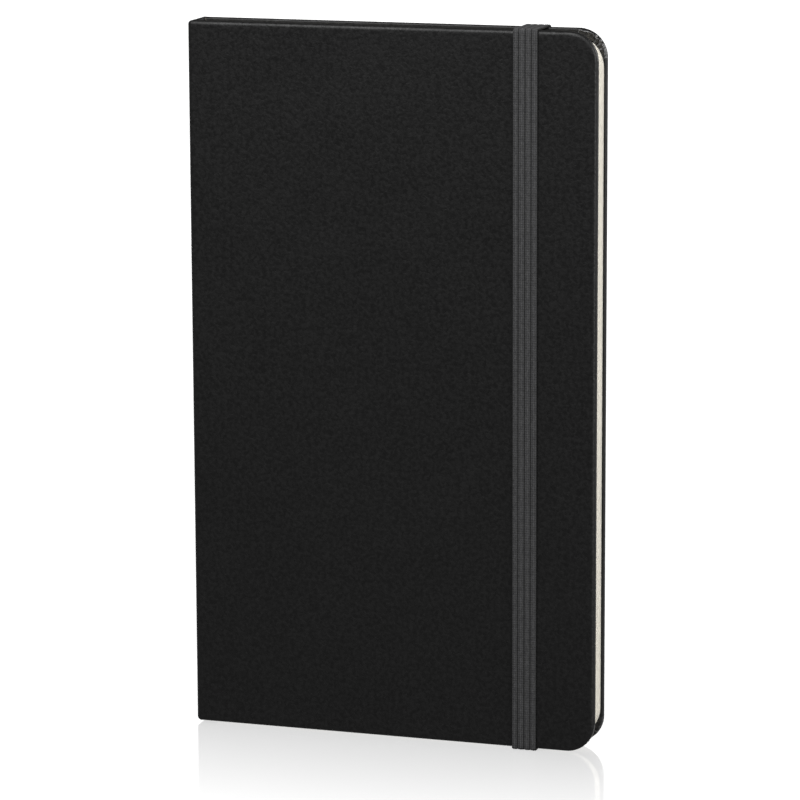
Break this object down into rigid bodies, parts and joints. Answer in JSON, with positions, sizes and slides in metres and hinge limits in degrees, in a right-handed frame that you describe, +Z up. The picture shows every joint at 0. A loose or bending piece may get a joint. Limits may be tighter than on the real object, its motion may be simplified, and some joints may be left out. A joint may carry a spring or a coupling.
{
  "type": "pocket notebook",
  "caption": "Upright hard-cover pocket notebook with black leatherette covers, rounded fore-edge corners, sewn cream pages and a vertical elastic closure band.",
  "frame": {"origin": "centre of the footprint, on the surface the notebook stands on", "axes": "+Z up along the spine, +X from the spine to the fore-edge, front cover facing -Y"},
  "size_m": [0.088, 0.0102, 0.1509],
  "materials": {
    "leatherette": "fine grained matt black",
    "board": "grey paperboard",
    "endpaper": "smooth cream paper",
    "page_paper": "smooth cream paper, matt cut edges",
    "elastic": "ribbed woven dark grey",
    "thread": "waxed off-white thread",
    "mull": "open-weave gauze"
  },
  "bodies": {
    "book_block": {"spine_board": "board", "spine_skin": "leatherette", "spine_mull": "mull", "sewing_thread": "thread", "signature_6": "page_paper", "front_flyleaf_gutter": "endpaper", "signature_1_gutter": "page_paper", "signature_2_gutter": "page_paper", "signature_3_gutter": "page_paper", "signature_4_gutter": "page_paper", "signature_5_gutter": "page_paper", "rear_flyleaf_gutter": "endpaper", "signature_8_gutter": "page_paper", "signature_7_gutter": "page_paper"},
    "front_cover": {"front_board": "board", "front_cover_skin": "leatherette", "front_pastedown": "endpaper"},
    "rear_cover": {"rear_board": "board", "rear_cover_skin": "leatherette", "rear_pastedown": "endpaper", "elastic_head_anchor": "elastic", "elastic_tail_anchor": "elastic"},
    "elastic": {"elastic_band": "elastic"},
    "front_flyleaf": {"front_flyleaf": "endpaper"},
    "signature_1_leaves": {"signature_1": "page_paper"},
    "signature_2_leaves": {"signature_2": "page_paper"},
    "signature_3_leaves": {"signature_3": "page_paper"},
    "signature_4_leaves": {"signature_4": "page_paper"},
    "signature_5_leaves": {"signature_5": "page_paper"},
    "rear_flyleaf": {"rear_flyleaf": "endpaper"},
    "signature_8_leaves": {"signature_8": "page_paper"},
    "signature_7_leaves": {"signature_7": "page_paper"}
  },
  "joints": [
    {"name": "front_cover_hinge", "type": "hinge", "parent": "book_block", "child": "front_cover", "pos_m": [-0.04292, -0.00363, 0], "axis": [0, 0, -1], "range_deg": [0, 178]},
    {"name": "rear_cover_hinge", "type": "hinge", "parent": "book_block", "child": "rear_cover", "pos_m": [-0.04292, 0.00363, 0], "axis": [0, 0, 1], "range_deg": [0, 178]},
    {"name": "elastic_swing", "type": "hinge", "parent": "rear_cover", "child": "elastic", "pos_m": [0.0291, 0.0047, 0], "axis": [0, 0, -1], "range_deg": [0, 180], "deforming": ["elastic_band"]},
    {"name": "front_flyleaf_turn", "type": "hinge", "parent": "book_block", "child": "front_flyleaf", "pos_m": [-0.0382, -0.00236, 0], "axis": [0, 0, -1], "range_deg": [0, 150]},
    {"name": "signature_1_turn", "type": "hinge", "parent": "book_block", "child": "signature_1_leaves", "pos_m": [-0.03731, -0.00198, 0], "axis": [0, 0, -1], "range_deg": [0, 130]},
    {"name": "signature_2_turn", "type": "hinge", "parent": "book_block", "child": "signature_2_leaves", "pos_m": [-0.03643, -0.00141, 0], "axis": [0, 0, -1], "range_deg": [0, 110]},
    {"name": "signature_3_turn", "type": "hinge", "parent": "book_block", "child": "signature_3_leaves", "pos_m": [-0.03575, -0.00085, 0], "axis": [0, 0, -1], "range_deg": [0, 90]},
    {"name": "signature_4_turn", "type": "hinge", "parent": "book_block", "child": "signature_4_leaves", "pos_m": [-0.03525, -0.00028, 0], "axis": [0, 0, -1], "range_deg": [0, 68]},
    {"name": "signature_5_turn", "type": "hinge", "parent": "book_block", "child": "signature_5_leaves", "pos_m": [-0.03492, 0.00028, 0], "axis": [0, 0, -1], "range_deg": [0, 40]},
    {"name": "rear_flyleaf_turn", "type": "hinge", "parent": "book_block", "child": "rear_flyleaf", "pos_m": [-0.0382, 0.00236, 0], "axis": [0, 0, 1], "range_deg": [0, 150]},
    {"name": "signature_8_turn", "type": "hinge", "parent": "book_block", "child": "signature_8_leaves", "pos_m": [-0.03773, 0.00198, 0], "axis": [0, 0, 1], "range_deg": [0, 95]},
    {"name": "signature_7_turn", "type": "hinge", "parent": "book_block", "child": "signature_7_leaves", "pos_m": [-0.03737, 0.00141, 0], "axis": [0, 0, 1], "range_deg": [0, 45]}
  ],
  "couplings": [
    {"joint": "front_flyleaf_turn", "follows": "front_cover_hinge", "ratio": 0.8427},
    {"joint": "signature_1_turn", "follows": "front_cover_hinge", "ratio": 0.73034},
    {"joint": "signature_2_turn", "follows": "front_cover_hinge", "ratio": 0.61798},
    {"joint": "signature_3_turn", "follows": "front_cover_hinge", "ratio": 0.50562},
    {"joint": "signature_4_turn", "follows": "front_cover_hinge", "ratio": 0.38202},
    {"joint": "signature_5_turn", "follows": "front_cover_hinge", "ratio": 0.22472},
    {"joint": "rear_flyleaf_turn", "follows": "rear_cover_hinge", "ratio": 0.8427},
    {"joint": "signature_8_turn", "follows": "rear_cover_hinge", "ratio": 0.53371},
    {"joint": "signature_7_turn", "follows": "rear_cover_hinge", "ratio": 0.25281}
  ]
}
